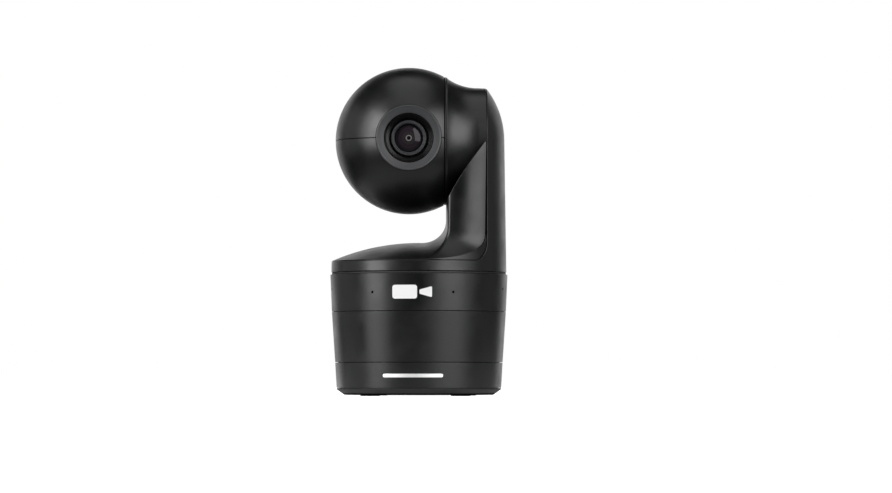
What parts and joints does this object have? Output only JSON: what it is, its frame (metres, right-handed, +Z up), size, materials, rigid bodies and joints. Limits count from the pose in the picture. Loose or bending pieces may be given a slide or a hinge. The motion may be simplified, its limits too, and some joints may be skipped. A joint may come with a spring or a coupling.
{
  "type": "ptz camera",
  "caption": "Charcoal desktop pan-tilt-zoom camera: tapered round base with a front light bar, a turntable with one side arm, and a ball head round the lens.",
  "frame": {"origin": "on the pan axis, at the underside of the rubber feet", "axes": "+Z up along the pan axis, the base faces -Y with its light bar and badge, the side arm is on +X, and the ports are at the back on +Y. The head stands panned 4.4 degrees about +Z from straight ahead"},
  "size_m": [0.145, 0.145, 0.2685],
  "materials": {
    "cover": "fine satin-matte moulded plastic, charcoal",
    "dark_plastic": "matte black plastic",
    "rubber": "soft black rubber",
    "brass": "turned, dull",
    "steel": "bright zinc-plated",
    "alloy": "die-cast, bead-blasted",
    "board": "green solder resist, satin",
    "white_plastic": "white gear plastic",
    "badge": "printed white, slightly glossy",
    "diffuser": "milky light guide",
    "lens_glass": "coated glass"
  },
  "bodies": {
    "base": {"bottom_plate": "dark_plastic", "rubber_feet": "rubber", "tripod_insert": "brass", "base_screws": "steel", "lower_ring": "cover", "light_bar": "diffuser", "light_bar_board": "board", "barrel": "cover", "port_panel": "dark_plastic", "ethernet_jack": "steel", "usb_jack": "steel", "hdmi_jack": "steel", "power_jack": "dark_plastic", "audio_jacks": "dark_plastic", "main_board": "board", "heatsink": "alloy", "board_standoffs": "steel", "deck_pillars": "steel", "base_deck": "alloy", "microphone_ring": "cover", "microphone_capsules": "steel", "front_badge": "badge", "top_cover_ring": "dark_plastic", "pan_bearing_outer_race": "steel", "pan_motor": "steel"},
    "turntable_assembly": {"pan_bearing_inner_race": "steel", "pan_gear": "white_plastic", "pan_stop_pin": "steel", "pan_spindle": "alloy", "spindle_nut": "steel", "turntable": "alloy", "turntable_screws": "steel", "arm_outer_cover": "cover", "arm_front_cover": "cover", "arm_frame": "alloy", "tilt_bearing_block": "alloy", "tilt_bushes": "brass", "tilt_motor": "steel", "driver_board": "board", "arm_cable": "dark_plastic"},
    "camera_head": {"tilt_shaft": "steel", "tilt_gear": "white_plastic", "head_bracket": "alloy", "head_upper_shell": "cover", "head_lower_shell": "cover", "lens_bezel": "cover", "lens_hood": "dark_plastic", "lens_barrel": "dark_plastic", "front_glass": "lens_glass", "camera_housing": "dark_plastic", "guide_rods": "steel", "lens_drive_magnets": "steel", "iris_plate": "steel", "sensor_board": "board", "camera_screws": "steel"},
    "bearing_cage": {"pan_bearing_balls": "steel"},
    "pan_motor_rotor": {"pan_pinion": "brass"},
    "tilt_motor_rotor": {"tilt_pinion": "brass"},
    "zoom_group": {"zoom_carriage": "dark_plastic"},
    "focus_group": {"focus_carriage": "dark_plastic"}
  },
  "joints": [
    {"name": "pan", "type": "hinge", "parent": "base", "child": "turntable_assembly", "pos_m": [0, 0, 0.0835], "axis": [0, 0, 1], "range_deg": [-174.4, 165.6]},
    {"name": "tilt", "type": "hinge", "parent": "turntable_assembly", "child": "camera_head", "pos_m": [0.01994, 0.00153, 0.2085], "axis": [0.9971, 0.0767, 0], "range_deg": [-90, 30]},
    {"name": "zoom", "type": "slide", "parent": "camera_head", "child": "zoom_group", "axis": [-0.0767, 0.9971, 0], "range_m": [-0.004, 0.014]},
    {"name": "focus", "type": "slide", "parent": "camera_head", "child": "focus_group", "axis": [-0.0767, 0.9971, 0], "range_m": [-0.006, 0.01]},
    {"name": "bearing_roll", "type": "hinge", "parent": "base", "child": "bearing_cage", "pos_m": [0, 0, 0.0835], "axis": [0, 0, 1], "range_deg": [-80, 76]},
    {"name": "pan_motor_spin", "type": "hinge", "parent": "base", "child": "pan_motor_rotor", "pos_m": [0, -0.0525, 0.094], "axis": [0, 0, 1], "range_deg": [-994, 1047]},
    {"name": "tilt_motor_spin", "type": "hinge", "parent": "turntable_assembly", "child": "tilt_motor_rotor", "pos_m": [0.04886, 0.00376, 0.1745], "axis": [0.9971, 0.0767, 0], "range_deg": [-141, 421]}
  ],
  "couplings": [
    {"joint": "bearing_roll", "follows": "pan", "ratio": 0.457},
    {"joint": "pan_motor_spin", "follows": "pan", "ratio": -6},
    {"joint": "tilt_motor_spin", "follows": "tilt", "ratio": -4.6667}
  ]
}
